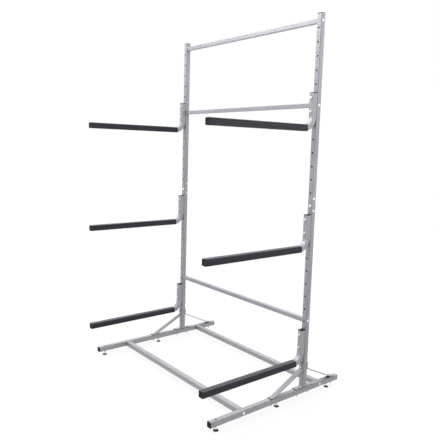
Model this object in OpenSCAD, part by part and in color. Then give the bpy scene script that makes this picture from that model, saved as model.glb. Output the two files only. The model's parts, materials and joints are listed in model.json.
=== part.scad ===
// Freestanding rack for three boats: two drilled uprights on an H-shaped base, three
// crossbars, six bolted arms with foam sleeves, four knee braces and six levelling feet.
// Millimetres. X is the width, -Y the side that the arms reach towards, Z up.
// The origin lies on the floor, in the middle of the footprint.

/* [Frame] */
// Distance between the centre lines of the two uprights
rack_w = 1270; // [900:10:1600]
// Height of the upright tube tops above the base tubes
column_h = 2163; // [2120:1:2400]
// Outer size of the square frame tube
tube = 31.75; // [30:0.25:35]
// Wall of the frame tube
wall = 2; // [1.5:0.1:2.6]
// Outer corner radius of the frame tube
corner_r = 3; // [2.6:0.1:4]
// Outer size of the square crossbar tube
bar = 25.4; // [22:0.2:28]
// Wall of the crossbar tube
bar_wall = 1.6; // [1.2:0.1:2]
// Outer corner radius of the crossbar tube
bar_r = 2.4; // [2:0.1:3]

/* [Hole pattern] */
// Distance between neighbouring holes in an upright
pitch = 76.2; // [72:0.2:80]
// Height of the lowest hole above the base tubes
hole_low = 181.8; // [176:0.2:190]
// Diameter of the holes in the uprights
hole_d = 9.5; // [9:0.1:11]
// Least distance from the highest hole to the top of an upright
hole_top_room = 60; // [58:1:70]

/* [Base] */
// Reach of the base in front of the uprights
base_front = 715; // [680:1:800]
// Reach of the base behind the rear brace bolts
base_rear = 48; // [36:1:136]
// Distance of the front cross tube in front of the uprights
cross_front = 485; // [460:1:520]
// Distance of the rear cross tube behind the uprights
cross_rear = 142; // [130:1:160]
// Height of the base tubes above the floor
foot_clear = 30.25; // [29:0.25:44]
// Length of the plate under each upright
plate_l = 144; // [130:1:160]
// Thickness of the plate under each upright
plate_t = 5; // [4:0.5:8]
// Distance from the upright to the bolts of its plate
plate_bolt = 47; // [42:1:52]
// Leg of the weld between an upright and its plate
weld = 4; // [2:0.5:5]

/* [Splice] */
// Number of the hole just below the seam between the two upright tubes, from zero
splice_hole = 12; // [11:1:13]
// Height of the seam above that hole
seam_rise = 11.8; // [9:0.2:16]
// Length of the sleeve inside the seam
splice_l = 150; // [140:1:160]
// Wall of the sleeve inside the seam
splice_wall = 2.5; // [2:0.1:3]
// Height of the upper side bolt above the seam
splice_up = 31; // [26:1:36]
// Depth of the lower side bolt below the seam
splice_down = 38; // [34:1:42]

/* [Arms] */
// Number of the hole that takes the lower bolt of the lowest arm, from zero
arm_hole = 1; // [1:1:1]
// Holes between one arm and the next
arm_step = 9; // [8:1:9]
// Reach of the arms in front of the uprights
arm_reach = 772; // [640:1:860]
// Drop of an arm's level leg below its lower bolt
arm_drop = 91; // [86:1:104]
// Centre line radius of the arm bend
bend_r = 63.5; // [58:0.5:72]
// Length of an arm's upright leg above its upper bolt
leg_over = 26; // [20:1:30]
// Wall of the foam sleeve
foam = 2.7; // [2:0.1:6]
// Outer corner radius of the foam sleeve
foam_r = 5; // [3.5:0.1:7]
// Angle of the bend that the foam sleeve covers
foam_turn = 10; // [5:1:20]

/* [Crossbars] */
// Drop of the top crossbar below the upright tops
bar_top_drop = 38.1; // [34:0.1:44]
// Height of the low crossbar above the lowest hole
bar_low_rise = 233; // [228:1:236]

/* [Braces] */
// Width of the brace bars
brace_w = 31.75; // [25:0.25:31.75]
// Thickness of the brace bars
brace_t = 4.8; // [4:0.1:6]
// Height of the brace tops above the base tubes
brace_top = 156; // [150:1:162]
// Height of the bend at the upper end of a brace
brace_bend = 114; // [108:1:116]
// Height of the brace bolts above the base tubes
brace_bolt = 130; // [128:1:134]
// Distance from the upright to the lower bend of a brace
brace_run = 252; // [240:1:254]
// Distance from the upright to the foot bolt of a brace
brace_foot = 264; // [262:1:272]
// Length of a brace beyond its foot bolt
brace_end = 12; // [10:1:16]
// Centre line radius of the brace bends
brace_r = 8; // [6:0.5:10]

/* [Caps] */
// Thickness of the cap flanges
cap_t = 4; // [3:0.5:6]
// Bevel round the cap flanges
cap_bevel = 1.2; // [0.6:0.1:2]
// Depth of the caps inside their tubes
plug_l = 16; // [12:1:22]
// Wall of the hollow cap plugs
plug_wall = 1.8; // [1.4:0.1:2.4]
// Thickness of the ribs round the plugs
rib_t = 1.2; // [0.8:0.1:1.6]
// Width of the rim round the dished base caps
rim = 5; // [4:0.5:7]
// Depth of the dish in the base caps
dish = 1.5; // [1:0.1:2]

/* [Levelling feet] */
// Distance of the front feet in front of the uprights
foot_front = 667; // [655:1:680]
// Distance of the middle feet in front of the uprights
foot_middle = 218; // [210:1:222]
// Distance of the rear feet behind the uprights
foot_rear = 223; // [215:1:226]
// Diameter of the foot pads
pad_d = 30; // [26:1:40]
// Height of the foot pads
pad_h = 5; // [4:0.5:14]
// Width of the flat round a pad's hexagon
pad_flat = 1; // [0.5:0.5:2]
// Rounding of the pads' lower edge
pad_r = 1.5; // [1:0.5:3]
// Height of the hexagon above a pad
foot_hex_h = 6; // [4:0.5:7]
// Depth of a stem's top below the top of the base tubes
stem_sunk = 13; // [12:1:18]
// Depth of the stem's end inside the pad
stem_seat = 3; // [2:0.5:4]
// Length of the threaded insert inside the base tube
insert_l = 13; // [10:1:14]
// Outer diameter of the threaded insert
insert_d = 13; // [12:0.5:15]
// Diameter of the insert's flange
insert_flange_d = 18; // [17:0.5:22]
// Thickness of the insert's flange
insert_flange_t = 1.5; // [1:0.1:2]
// Diameter of the hole above each foot
access_d = 10; // [9.6:0.1:14]

/* [Hardware] */
// Diameter of all bolts and of the foot stems
bolt_d = 8; // [7:0.1:8]
// Width of the hexagons across their flats
hex_af = 13; // [12:0.5:14]
// Height of the hexagon bolt heads
head_h = 5.3; // [4:0.1:6]
// Height of the nuts
nut_h = 6.5; // [5:0.1:8]
// Diameter of the washers
washer_d = 16; // [15.5:0.5:20]
// Thickness of the washers
washer_t = 1.6; // [1:0.1:2]
// Diameter of the domed bolt heads
dome_d = 17; // [15:0.5:20]
// Height of the domed bolt heads
dome_h = 4.4; // [3:0.1:5]
// Length of a bolt beyond its nut
bolt_tip = 4; // [2:0.5:6]
// Length of a bolt beyond its nut under the base
base_tip = 12; // [6:0.5:14]
// Length of the threaded plug in each crossbar end
end_plug_l = 24; // [20:1:30]
// Length of bolt inside the threaded plug
end_bite = 18; // [14:1:19]

/* [Clearances] */
// Gap round a bolt in its drilled hole, on the diameter
bolt_slack = 0.5; // [0.2:0.1:1]
// Gap round a bolt in its thread, on the diameter
thread_slack = 0.2; // [0.1:0.02:0.2]
// Gap round a plug or sleeve inside a tube, on each side
fit_gap = 0.15; // [0.05:0.05:0.3]
// Gap between a foam sleeve and its arm, on each side
foam_gap = 0.3; // [0.2:0.05:0.5]

/* [Hidden] */
LEFT = -1;
RIGHT = 1;
FRONT = -1;
REAR = 1;

// Roundness of curves, in sides to the full turn
round_fn = 48;
bend_fn = 96;
// Flats round each bend of a brace
bend_steps = 16;
// Thinnest corner radius inside a tube
least_r = 0.4;
// How far a drill runs past the face that it leaves
drill_past = 1;

// The rear end of the base follows the rear brace bolts
base_end = brace_foot + base_rear;
// The footprint runs from the arm ends to the rear caps; its middle is the origin
set_back = (arm_reach - base_end) / 2;

// Heights
base_mid = foot_clear + tube / 2;
base_top = foot_clear + tube;
column_foot = base_top + plate_t;
column_top = base_top + column_h;
hole_count = floor((column_h - hole_top_room - hole_low) / pitch) + 1;
function hole_z(i) = base_top + hole_low + i * pitch;
seam_z = hole_z(splice_hole) + seam_rise;
brace_bolt_z = base_top + brace_bolt;
bar_low_z = hole_z(0) + bar_low_rise;
bar_top_z = column_top - bar_top_drop;

// Arms: level 0 is the lowest, 2 the highest
ARM_LEVELS = [0, 1, 2];
function arm_low_bolt(level) = hole_z(arm_hole + level * arm_step);
function arm_axis_z(level) = arm_low_bolt(level) - arm_drop;
bar_middle_z = arm_low_bolt(2) + pitch / 2;
leg_y = -tube;
arm_bend_y = leg_y - bend_r;

// Plan positions
side_x = rack_w / 2;
face = tube / 2;
inner_span = rack_w - tube;
foot_y = [-foot_front, -foot_middle, foot_rear];
drilled_d = bolt_d + bolt_slack;
threaded_d = bolt_d + thread_slack;
hex_d = hex_af / cos(30);

// ---- Profiles and plain shapes ----

module rounded_square(size, r) {
    square([size, size - 2 * r], center = true);
    square([size - 2 * r, size], center = true);
    for (sx = [-1, 1], sy = [-1, 1])
        translate([sx * (size / 2 - r), sy * (size / 2 - r)])
            circle(r = r, $fn = round_fn);
}

module tube_section(size, t, r) {
    difference() {
        rounded_square(size, r);
        rounded_square(size - 2 * t, max(r - t, least_r));
    }
}

// Turns a shape that stands along Z to lie along X or Y
module along_x() { rotate([90, 0, 90]) children(); }
module along_y() { rotate([-90, 0, 0]) children(); }

// A drill or a bolt shank whose axis crosses the given point
module rod_x(d, l) { rotate([0, 90, 0]) cylinder(d = d, h = l, center = true, $fn = round_fn); }
module rod_y(d, l) { rotate([90, 0, 0]) cylinder(d = d, h = l, center = true, $fn = round_fn); }
module rod_z(d, l) { cylinder(d = d, h = l, center = true, $fn = round_fn); }

// Moves a shape drawn about the left-hand or right-hand upright into the footprint's frame
module at_side(side) { translate([side * side_x, set_back, 0]) children(); }
module both_sides() { for (side = [LEFT, RIGHT]) at_side(side) children(); }

// ---- Hardware, drawn with the seat at Z = 0 and the head above it ----

module washer() {
    difference() {
        cylinder(d = washer_d, h = washer_t, $fn = round_fn);
        cylinder(d = drilled_d, h = 3 * washer_t, center = true, $fn = round_fn);
    }
}

module nut() {
    difference() {
        cylinder(d = hex_d, h = nut_h, $fn = 6);
        cylinder(d = threaded_d, h = 3 * nut_h, center = true, $fn = round_fn);
    }
}

module hex_bolt(shank) {
    cylinder(d = hex_d, h = head_h, $fn = 6);
    translate([0, 0, -shank]) cylinder(d = bolt_d, h = shank, $fn = round_fn);
}

// The dome is a slice of a ball that is dome_d wide and dome_h high
module dome_bolt(shank) {
    ball_r = (dome_d * dome_d / 4 + dome_h * dome_h) / (2 * dome_h);
    rotate_extrude($fn = round_fn)
        intersection() {
            translate([0, dome_h - ball_r]) circle(r = ball_r, $fn = bend_fn);
            square([dome_d, dome_h]);
        }
    translate([0, 0, -shank]) cylinder(d = bolt_d, h = shank, $fn = round_fn);
}

// A threaded block that fills the end of a tube, from Z = 0 inwards
module end_plug(size) {
    difference() {
        linear_extrude(end_plug_l) rounded_square(size - 2 * fit_gap, bar_r);
        cylinder(d = threaded_d, h = 3 * end_plug_l, center = true, $fn = round_fn);
    }
}

// ---- Caps, drawn with the tube's end at Z = 0 and the flange above it ----

module bevelled_flange(size) {
    flat = size / 2 - cap_bevel;
    outline = [
        [-size / 2, 0], [size / 2, 0], [size / 2, cap_t - cap_bevel],
        [flat, cap_t], [-flat, cap_t], [-size / 2, cap_t - cap_bevel]
    ];
    intersection() {
        linear_extrude(cap_t) rounded_square(size, corner_r);
        rotate([90, 0, 0]) linear_extrude(size, center = true) polygon(outline);
        rotate([90, 0, 90]) linear_extrude(size, center = true) polygon(outline);
    }
}

module push_cap(dished) {
    inside = tube - 2 * wall - 2 * fit_gap;
    inside_r = max(corner_r - wall, least_r);
    plug = inside - 2 * rib_t;
    difference() {
        union() {
            bevelled_flange(tube);
            translate([0, 0, -plug_l]) linear_extrude(plug_l) tube_section(plug, plug_wall, plug_wall);
            for (step = [1, 2, 3])
                translate([0, 0, -step * plug_l / 4])
                    linear_extrude(rib_t) tube_section(inside, plug_wall + rib_t, inside_r);
        }
        if (dished)
            translate([0, 0, cap_t - dish]) linear_extrude(cap_t) rounded_square(tube - 2 * rim, plug_wall);
    }
}

// ---- Base ----

module base_side(side) {
    length = base_front + base_end - 2 * cap_t;
    middle = (base_end - base_front) / 2;
    color("#a9a9b2") at_side(side) difference() {
        translate([0, middle, base_mid]) along_y() linear_extrude(length, center = true)
            tube_section(tube, wall, corner_r);
        for (y = [-cross_front, cross_rear])
            translate([0, y, base_mid]) rod_x(drilled_d, tube + 2 * drill_past);
        for (y = [-brace_foot, -plate_bolt, plate_bolt, brace_foot])
            translate([0, y, base_mid]) rod_z(drilled_d, tube + 2 * drill_past);
        for (y = foot_y) {
            translate([0, y, foot_clear]) rod_z(insert_d + 2 * fit_gap, 3 * wall);
            translate([0, y, base_top]) rod_z(access_d, 3 * wall);
        }
    }
}

module base_cross(y) {
    color("#b4b4bc") translate([0, set_back + y, base_mid]) along_x()
        linear_extrude(inner_span, center = true) tube_section(tube, wall, corner_r);
}

module base_end_caps() {
    color("#45454b") both_sides() {
        translate([0, cap_t - base_front, base_mid]) rotate([90, 0, 0]) push_cap(true);
        translate([0, base_end - cap_t, base_mid]) rotate([-90, 0, 0]) push_cap(true);
    }
}

// ---- Uprights ----

// Drills the hole row, and side holes at the given heights, through what it is given
module drilled(side_heights) {
    difference() {
        children();
        for (i = [0 : hole_count - 1]) translate([0, 0, hole_z(i)]) rod_y(hole_d, tube + 2 * drill_past);
        for (z = side_heights) translate([0, 0, z]) rod_x(drilled_d, tube + 2 * drill_past);
    }
}

module foot_plate() {
    difference() {
        translate([-tube / 2, -plate_l / 2, base_top]) cube([tube, plate_l, plate_t]);
        for (y = [-plate_bolt, plate_bolt])
            translate([0, y, column_foot]) rod_z(drilled_d, 3 * plate_t);
    }
}

// One weld bead on the front of the upright, along the foot of its flat face
module weld_bead() {
    translate([0, -face, column_foot]) rotate([90, 0, -90])
        linear_extrude(tube - 2 * corner_r, center = true) polygon([[0, 0], [weld, 0], [0, weld]]);
}

module upright_lower(side) {
    color("#9c9ca5") at_side(side) {
        foot_plate();
        weld_bead();
        mirror([0, 1, 0]) weld_bead();
        difference() {
            drilled([bar_low_z, seam_z - splice_down])
                translate([0, 0, column_foot]) linear_extrude(seam_z - column_foot)
                    tube_section(tube, wall, corner_r);
            translate([0, 0, brace_bolt_z]) rod_y(drilled_d, tube + 2 * drill_past);
        }
    }
}

module upright_upper(side) {
    color("#b5b5bd") at_side(side)
        drilled([seam_z + splice_up, bar_middle_z, bar_top_z])
            translate([0, 0, seam_z]) linear_extrude(column_top - seam_z)
                tube_section(tube, wall, corner_r);
}

module splice(side) {
    size = tube - 2 * wall - 2 * fit_gap;
    color("#8d8d96") at_side(side)
        drilled([seam_z - splice_down, seam_z + splice_up])
            translate([0, 0, seam_z - splice_l / 2]) linear_extrude(splice_l)
                tube_section(size, splice_wall, splice_wall);
}

module upright_caps() {
    color("#45454b") both_sides() translate([0, 0, column_top]) push_cap(false);
}

// ---- Crossbars ----

module crossbar(z) {
    color("#b9b9c1") translate([0, set_back, z]) along_x()
        linear_extrude(inner_span, center = true) tube_section(bar, bar_wall, bar_r);
}

// ---- Braces ----

// Points are [distance from the upright's axis, height]; a path is drawn along its centre line
function heading(a, b) = atan2(b.y - a.y, b.x - a.x);
function turn_at(a, b, c) = (heading(b, c) - heading(a, b) + 540) % 360 - 180;
function polar(r, angle) = r * [cos(angle), sin(angle)];

// One edge of the bar's bend at b, on the way from a to c; side is the distance to its left
function bend_edge(a, b, c, side) =
    let (
        turn = turn_at(a, b, c),
        way = sign(turn),
        first = heading(a, b) - way * 90,
        start = b - polar(brace_r * tan(abs(turn) / 2), heading(a, b)),
        centre = start - polar(brace_r, first)
    )
    [for (i = [0 : bend_steps]) centre + polar(brace_r - way * side, first + turn * i / bend_steps)];

function bar_edge(path, side) = concat(
    [path[0] + polar(side, heading(path[0], path[1]) + 90)],
    [for (i = [1 : len(path) - 2]) each bend_edge(path[i - 1], path[i], path[i + 1], side)],
    [path[len(path) - 1] + polar(side, heading(path[len(path) - 2], path[len(path) - 1]) + 90)]
);

function reversed(list) = [for (i = [len(list) - 1 : -1 : 0]) list[i]];

// Drawn for the rear; the front one is its mirror image
module brace(side, end) {
    tab = face + brace_t / 2;
    foot = brace_t / 2;
    path = [[tab, brace_top], [tab, brace_bend], [brace_run, foot], [brace_foot + brace_end, foot]];
    outline = concat(bar_edge(path, brace_t / 2), reversed(bar_edge(path, -brace_t / 2)));
    color("#a2a2ab") at_side(side) mirror([0, end == FRONT ? 1 : 0, 0])
        difference() {
            translate([0, 0, base_top]) along_x() linear_extrude(brace_w, center = true) polygon(outline);
            translate([0, tab, brace_bolt_z]) rod_y(drilled_d, 3 * brace_t);
            translate([0, brace_foot, base_top + foot]) rod_z(drilled_d, 3 * brace_t);
        }
}

// ---- Arms and sleeves ----

// The quarter bend, or its first part, from the level leg upwards
module arm_bend(size, t, r, angle) {
    translate([0, arm_bend_y, bend_r]) along_x() rotate(-90)
        rotate_extrude(angle = angle, $fn = bend_fn)
            translate([bend_r, 0]) tube_section(size, t, r);
}

// The level leg, from the bend forwards to the given distance from the uprights
module arm_level(size, t, r, reach) {
    translate([0, -reach, 0]) along_y() linear_extrude(reach + arm_bend_y) tube_section(size, t, r);
}

module arm(side, level) {
    color("#b0b0b8") at_side(side) translate([0, 0, arm_axis_z(level)]) difference() {
        union() {
            arm_level(tube, wall, corner_r, arm_reach - cap_t);
            arm_bend(tube, wall, corner_r, 90);
            translate([0, leg_y, bend_r]) linear_extrude(arm_drop - bend_r + pitch + leg_over)
                tube_section(tube, wall, corner_r);
        }
        for (z = [arm_drop, arm_drop + pitch])
            translate([0, leg_y, z]) rod_y(drilled_d, tube + 2 * drill_past);
    }
}

module sleeve(side, level) {
    size = tube + 2 * foam_gap + 2 * foam;
    color("#3c3c42") at_side(side) translate([0, 0, arm_axis_z(level)]) {
        arm_level(size, foam, foam_r, arm_reach);
        arm_bend(size, foam, foam_r, foam_turn);
    }
}

module arm_heel_caps() {
    color("#45454b") both_sides() for (level = ARM_LEVELS)
        translate([0, leg_y, arm_low_bolt(level) + pitch + leg_over]) push_cap(false);
}

module arm_end_plugs() {
    color("#45454b") both_sides() for (level = ARM_LEVELS)
        translate([0, cap_t - arm_reach, arm_axis_z(level)]) rotate([90, 0, 0]) push_cap(true);
}

// ---- Levelling feet ----

module foot_pad(side, y) {
    top_r = hex_d / 2 + pad_flat;
    profile = [
        [0, 0], [pad_d / 2 - pad_r, 0], [pad_d / 2 - pad_r, pad_r], [pad_d / 2, pad_r],
        [pad_d / 2, 2 * pad_h / 3], [top_r, pad_h], [0, pad_h]
    ];
    color("#1e1e21") at_side(side) translate([0, y, 0]) difference() {
        rotate_extrude($fn = round_fn) {
            polygon(profile);
            intersection() {
                translate([pad_d / 2 - pad_r, pad_r]) circle(r = pad_r, $fn = round_fn);
                square([pad_d / 2, pad_h]);
            }
        }
        translate([0, 0, pad_h - stem_seat])
            cylinder(d = threaded_d, h = pad_h, $fn = round_fn);
    }
}

module foot_stud(side, y) {
    color("#b8b8bc") at_side(side) translate([0, y, 0]) {
        translate([0, 0, pad_h]) cylinder(d = hex_d, h = foot_hex_h, $fn = 6);
        translate([0, 0, pad_h - stem_seat])
            cylinder(d = bolt_d, h = base_top - stem_sunk - pad_h + stem_seat, $fn = round_fn);
    }
}

module foot_inserts() {
    color("#9a9aa0") both_sides() for (y = foot_y) translate([0, y, foot_clear]) difference() {
        union() {
            translate([0, 0, -insert_flange_t]) cylinder(d = insert_flange_d, h = insert_flange_t, $fn = round_fn);
            cylinder(d = insert_d, h = insert_l, $fn = round_fn);
        }
        cylinder(d = threaded_d, h = 3 * insert_l, center = true, $fn = round_fn);
    }
}

// ---- Fasteners ----

// Each arm bolt runs from the arm's front face through arm and upright to a nut at the back
module at_arm_bolts() {
    both_sides() for (level = ARM_LEVELS, rise = [0, pitch])
        translate([0, 0, arm_low_bolt(level) + rise]) children();
}

module arm_bolts() {
    shank = 2 * tube + 2 * washer_t + nut_h + bolt_tip;
    color("#e2e2e6") at_arm_bolts()
        translate([0, leg_y - face - washer_t, 0]) rotate([90, 0, 0]) hex_bolt(shank);
}

module arm_washers() {
    color("#d8d8dc") at_arm_bolts() {
        translate([0, leg_y - face, 0]) rotate([90, 0, 0]) washer();
        translate([0, face, 0]) rotate([-90, 0, 0]) washer();
    }
}

module arm_nuts() {
    color("#d8d8dc") at_arm_bolts()
        translate([0, face + washer_t, 0]) rotate([-90, 0, 0]) nut();
}

// Side bolts have their heads on the outer faces; one more bolt runs front to back
module splice_bolts() {
    shank = tube + nut_h + bolt_tip;
    color("#e2e2e6") for (side = [LEFT, RIGHT]) at_side(side) {
        for (z = [seam_z - splice_down, seam_z + splice_up])
            translate([side * face, 0, z]) rotate([0, side * 90, 0]) dome_bolt(shank);
        translate([0, -face, hole_z(splice_hole)]) rotate([90, 0, 0]) dome_bolt(shank);
    }
}

module splice_nuts() {
    color("#d8d8dc") for (side = [LEFT, RIGHT]) at_side(side) {
        for (z = [seam_z - splice_down, seam_z + splice_up])
            translate([-side * face, 0, z]) rotate([0, -side * 90, 0]) nut();
        translate([0, face, hole_z(splice_hole)]) rotate([-90, 0, 0]) nut();
    }
}

module side_bolts(y, z) {
    for (side = [LEFT, RIGHT]) at_side(side)
        translate([side * face, y, z]) rotate([0, side * 90, 0]) dome_bolt(tube + end_bite);
}

module side_plugs(y, z, size) {
    for (side = [LEFT, RIGHT]) at_side(side)
        translate([-side * face, y, z]) rotate([0, -side * 90, 0]) end_plug(size);
}

module crossbar_bolts() {
    color("#e2e2e6") for (z = [bar_low_z, bar_middle_z, bar_top_z]) side_bolts(0, z);
}

module crossbar_plugs() {
    color("#8d8d96") for (z = [bar_low_z, bar_middle_z, bar_top_z]) side_plugs(0, z, bar - 2 * bar_wall);
}

module base_cross_bolts() {
    color("#e2e2e6") for (y = [-cross_front, cross_rear]) side_bolts(y, base_mid);
}

module base_cross_plugs() {
    color("#8d8d96") for (y = [-cross_front, cross_rear]) side_plugs(y, base_mid, tube - 2 * wall);
}

// One bolt clamps the two brace tabs to the upright; each brace foot has a bolt of its own
module brace_bolts() {
    through = tube + 2 * brace_t + nut_h + bolt_tip;
    down = brace_t + tube + nut_h + base_tip;
    color("#e2e2e6") both_sides() {
        translate([0, -face - brace_t, brace_bolt_z]) rotate([90, 0, 0]) hex_bolt(through);
        for (y = [-brace_foot, brace_foot]) translate([0, y, base_top + brace_t]) hex_bolt(down);
    }
}

module brace_nuts() {
    color("#d8d8dc") both_sides() {
        translate([0, face + brace_t, brace_bolt_z]) rotate([-90, 0, 0]) nut();
        for (y = [-brace_foot, brace_foot]) translate([0, y, foot_clear]) rotate([180, 0, 0]) nut();
    }
}

module plate_bolts() {
    down = plate_t + tube + nut_h + base_tip;
    color("#e2e2e6") both_sides() for (y = [-plate_bolt, plate_bolt])
        translate([0, y, column_foot]) hex_bolt(down);
}

module plate_nuts() {
    color("#d8d8dc") both_sides() for (y = [-plate_bolt, plate_bolt])
        translate([0, y, foot_clear]) rotate([180, 0, 0]) nut();
}

base_side(LEFT);  // base_side_left
base_side(RIGHT);  // base_side_right
base_cross(-cross_front);  // base_cross_front
base_cross(cross_rear);  // base_cross_rear
base_end_caps();
upright_lower(LEFT);  // upright_lower_left
upright_lower(RIGHT);  // upright_lower_right
upright_upper(LEFT);  // upright_upper_left
upright_upper(RIGHT);  // upright_upper_right
splice(LEFT);  // splice_left
splice(RIGHT);  // splice_right
upright_caps();
crossbar(bar_top_z);  // crossbar_top
crossbar(bar_middle_z);  // crossbar_middle
crossbar(bar_low_z);  // crossbar_low
brace(LEFT, FRONT);  // brace_front_left
brace(RIGHT, FRONT);  // brace_front_right
brace(LEFT, REAR);  // brace_rear_left
brace(RIGHT, REAR);  // brace_rear_right
arm(LEFT, 0);  // arm_low_left
arm(RIGHT, 0);  // arm_low_right
arm(LEFT, 1);  // arm_middle_left
arm(RIGHT, 1);  // arm_middle_right
arm(LEFT, 2);  // arm_top_left
arm(RIGHT, 2);  // arm_top_right
sleeve(LEFT, 0);  // sleeve_low_left
sleeve(RIGHT, 0);  // sleeve_low_right
sleeve(LEFT, 1);  // sleeve_middle_left
sleeve(RIGHT, 1);  // sleeve_middle_right
sleeve(LEFT, 2);  // sleeve_top_left
sleeve(RIGHT, 2);  // sleeve_top_right
arm_heel_caps();
arm_end_plugs();
foot_pad(LEFT, -foot_front);  // foot_pad_front_left
foot_pad(RIGHT, -foot_front);  // foot_pad_front_right
foot_pad(LEFT, -foot_middle);  // foot_pad_middle_left
foot_pad(RIGHT, -foot_middle);  // foot_pad_middle_right
foot_pad(LEFT, foot_rear);  // foot_pad_rear_left
foot_pad(RIGHT, foot_rear);  // foot_pad_rear_right
foot_stud(LEFT, -foot_front);  // foot_stud_front_left
foot_stud(RIGHT, -foot_front);  // foot_stud_front_right
foot_stud(LEFT, -foot_middle);  // foot_stud_middle_left
foot_stud(RIGHT, -foot_middle);  // foot_stud_middle_right
foot_stud(LEFT, foot_rear);  // foot_stud_rear_left
foot_stud(RIGHT, foot_rear);  // foot_stud_rear_right
foot_inserts();
arm_bolts();
arm_washers();
arm_nuts();
splice_bolts();
splice_nuts();
crossbar_bolts();
crossbar_plugs();
base_cross_bolts();
base_cross_plugs();
brace_bolts();
brace_nuts();
plate_bolts();
plate_nuts();
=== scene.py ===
"""Dresses the boat rack's solids in silver coat, zinc, foam, plastic and rubber, and sets it up
for its picture.

Metres, in the frame of the solids: X is the width, -Y the side that the arms reach towards, Z up.
"""
import json
import math

import bpy
import numpy as np
from mathutils import Matrix, Vector


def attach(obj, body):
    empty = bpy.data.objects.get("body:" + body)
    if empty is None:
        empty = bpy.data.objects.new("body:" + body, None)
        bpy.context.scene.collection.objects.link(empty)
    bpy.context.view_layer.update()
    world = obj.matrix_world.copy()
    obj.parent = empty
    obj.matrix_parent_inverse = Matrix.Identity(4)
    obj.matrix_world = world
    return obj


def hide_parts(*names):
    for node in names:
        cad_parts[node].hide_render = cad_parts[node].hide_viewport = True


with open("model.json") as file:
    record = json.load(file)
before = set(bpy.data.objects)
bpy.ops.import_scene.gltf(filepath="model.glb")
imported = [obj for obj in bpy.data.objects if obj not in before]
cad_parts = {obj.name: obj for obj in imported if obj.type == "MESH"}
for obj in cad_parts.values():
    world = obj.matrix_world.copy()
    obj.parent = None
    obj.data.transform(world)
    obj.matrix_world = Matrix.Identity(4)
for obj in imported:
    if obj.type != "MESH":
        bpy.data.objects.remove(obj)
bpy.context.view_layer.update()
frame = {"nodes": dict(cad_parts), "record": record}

scene = bpy.context.scene

# ---------------------------------------------------------------- sizes of the solids
MM = 0.001
SET_BACK = 230 * MM                   # the uprights' axes stand this far behind the origin
SIDE_X = 635 * MM
SIDES = {"left": -SIDE_X, "right": SIDE_X}
TUBE = 31.75 * MM
FACE = TUBE / 2
WALL = 2 * MM
CORNER = 3 * MM
BASE_LOW = 30.25 * MM
BASE_MID = BASE_LOW + FACE
BASE_TOP = BASE_LOW + TUBE
BASE_FRONT = SET_BACK - 715 * MM
BASE_REAR = SET_BACK + 312 * MM
COLUMN_TOP = BASE_TOP + 2163 * MM
PITCH = 76.2 * MM
FIRST_HOLE = BASE_TOP + 181.8 * MM
HOLES = 26
HOLE_R = 4.75 * MM
ACCESS_R = 5 * MM
SEAM_HOLE = FIRST_HOLE + 12 * PITCH
SEAM = SEAM_HOLE + 11.8 * MM
SPLICE_BOLTS = (SEAM - 38 * MM, SEAM + 31 * MM)
ARM_FRONT = SET_BACK - 772 * MM
ARM_LOW_BOLTS = {"low": FIRST_HOLE + PITCH, "middle": FIRST_HOLE + 10 * PITCH, "top": FIRST_HOLE + 19 * PITCH}
ARM_DROP = 91 * MM
ARM_LEG_OVER = 26 * MM
BEND_R = 63.5 * MM
LEG_Y = SET_BACK - TUBE
BEND_Y = LEG_Y - BEND_R
FOAM_TURN = math.radians(10)
FOAM_OUT = 18.875 * MM
FOAM_IN = 16.175 * MM
CROSSBARS = (FIRST_HOLE + 233 * MM, ARM_LOW_BOLTS["top"] + PITCH / 2, COLUMN_TOP - 38.1 * MM)
CROSS_TUBES = (SET_BACK - 485 * MM, SET_BACK + 142 * MM)
PLATE_T = 5 * MM
PLATE_BOLT = 47 * MM
BRACE_T = 4.8 * MM
BRACE_BOLT_Z = BASE_TOP + 130 * MM
BRACE_FOOT = 264 * MM
WELD = 4 * MM
FEET = {"front": SET_BACK - 667 * MM, "middle": SET_BACK - 218 * MM, "rear": SET_BACK + 223 * MM}
CAP_T = 4 * MM
PLUG_L = 16 * MM
PAD_R = 15 * MM
PAD_H = 5 * MM
FOOT_HEX_H = 6 * MM
STEM_TOP = BASE_TOP - 13 * MM
STEM_SEAT = 3 * MM
BOLT_R = 4 * MM
THREAD_PITCH = 1.25 * MM
THREAD_DEPTH = 0.5 * MM
BORE_R = 4.1 * MM
HEX_AF = 13 * MM
HEX_H = 5.3 * MM
NUT_H = 6.5 * MM
WASHER_R = 8 * MM
WASHER_T = 1.6 * MM
DOME_R = 8.5 * MM
DOME_H = 4.4 * MM
TIP = 4 * MM
BASE_TIP = 12 * MM

# ---------------------------------------------------------------- sizes that only the looks use
FLAKE = 0.45 * MM                     # in the silver coat
ROUND_STEPS = 48                      # points round a fastener
HEX_CROWN_R = 0.95 * HEX_AF / 2       # the round flat that the trimmed corners leave
FOAM_CORNERS = (5.5 * MM, 3.2 * MM)   # outside and bore of a sleeve
FOAM_CROWN = 0.35 * MM                # how far the middle of a sleeve's side stands proud
FOAM_WAVES = ((0.14 * MM, 31, 2), (0.08 * MM, 83, -3))  # height, radians a metre, waves round

# ---------------------------------------------------------------- camera
PHOTO_SIDE = 440                      # pixels, width and height of the photograph
SENSOR = 36.0                         # millimetres
CAMERA_PLACE = (2.6587, -2.0937, 1.4737)
CAMERA_AZIMUTH = 50.706               # degrees round from the front
CAMERA_ELEVATION = 7.627              # degrees down
CAMERA_ROLL = 1.654                   # degrees
FOCAL_PIXELS = 528.985
MIDDLE_PIXEL = (221.696, 219.290)     # where the optical axis meets the photograph


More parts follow.
